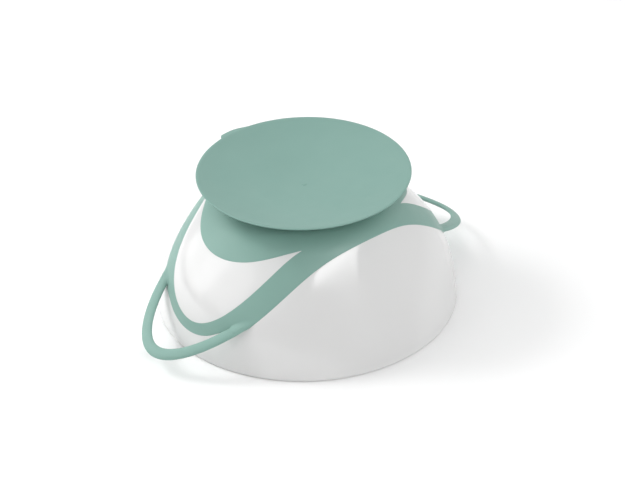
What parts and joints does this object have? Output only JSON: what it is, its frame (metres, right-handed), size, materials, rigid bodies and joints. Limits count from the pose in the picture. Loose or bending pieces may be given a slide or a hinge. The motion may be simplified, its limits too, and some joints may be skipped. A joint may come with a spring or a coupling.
{
  "type": "suction bowl",
  "caption": "Toddler's feeding bowl, upturned, with a green grip skin, slim side loops and a pull-off suction cup on its base.",
  "frame": {"origin": "centre of the circle that the rim makes on the table, the bowl lying upturned", "axes": "+X from the centre to one handle loop, +Y towards the suction cup's pull tab, +Z from the rim up to the suction cup"},
  "size_m": [0.1624, 0.1242, 0.0598],
  "materials": {
    "white_shell": "polished polypropylene",
    "green_skin": "satin soft-touch elastomer",
    "green_cup": "matt silicone"
  },
  "bodies": {
    "bowl": {"bowl_shell": "white_shell", "grip_overmould": "green_skin"},
    "cup": {"suction_cup": "green_cup"}
  },
  "joints": [
    {"name": "cup_pull_off", "type": "slide", "parent": "bowl", "child": "cup", "axis": [0, 0, 1], "range_m": [0, 0.02]}
  ]
}
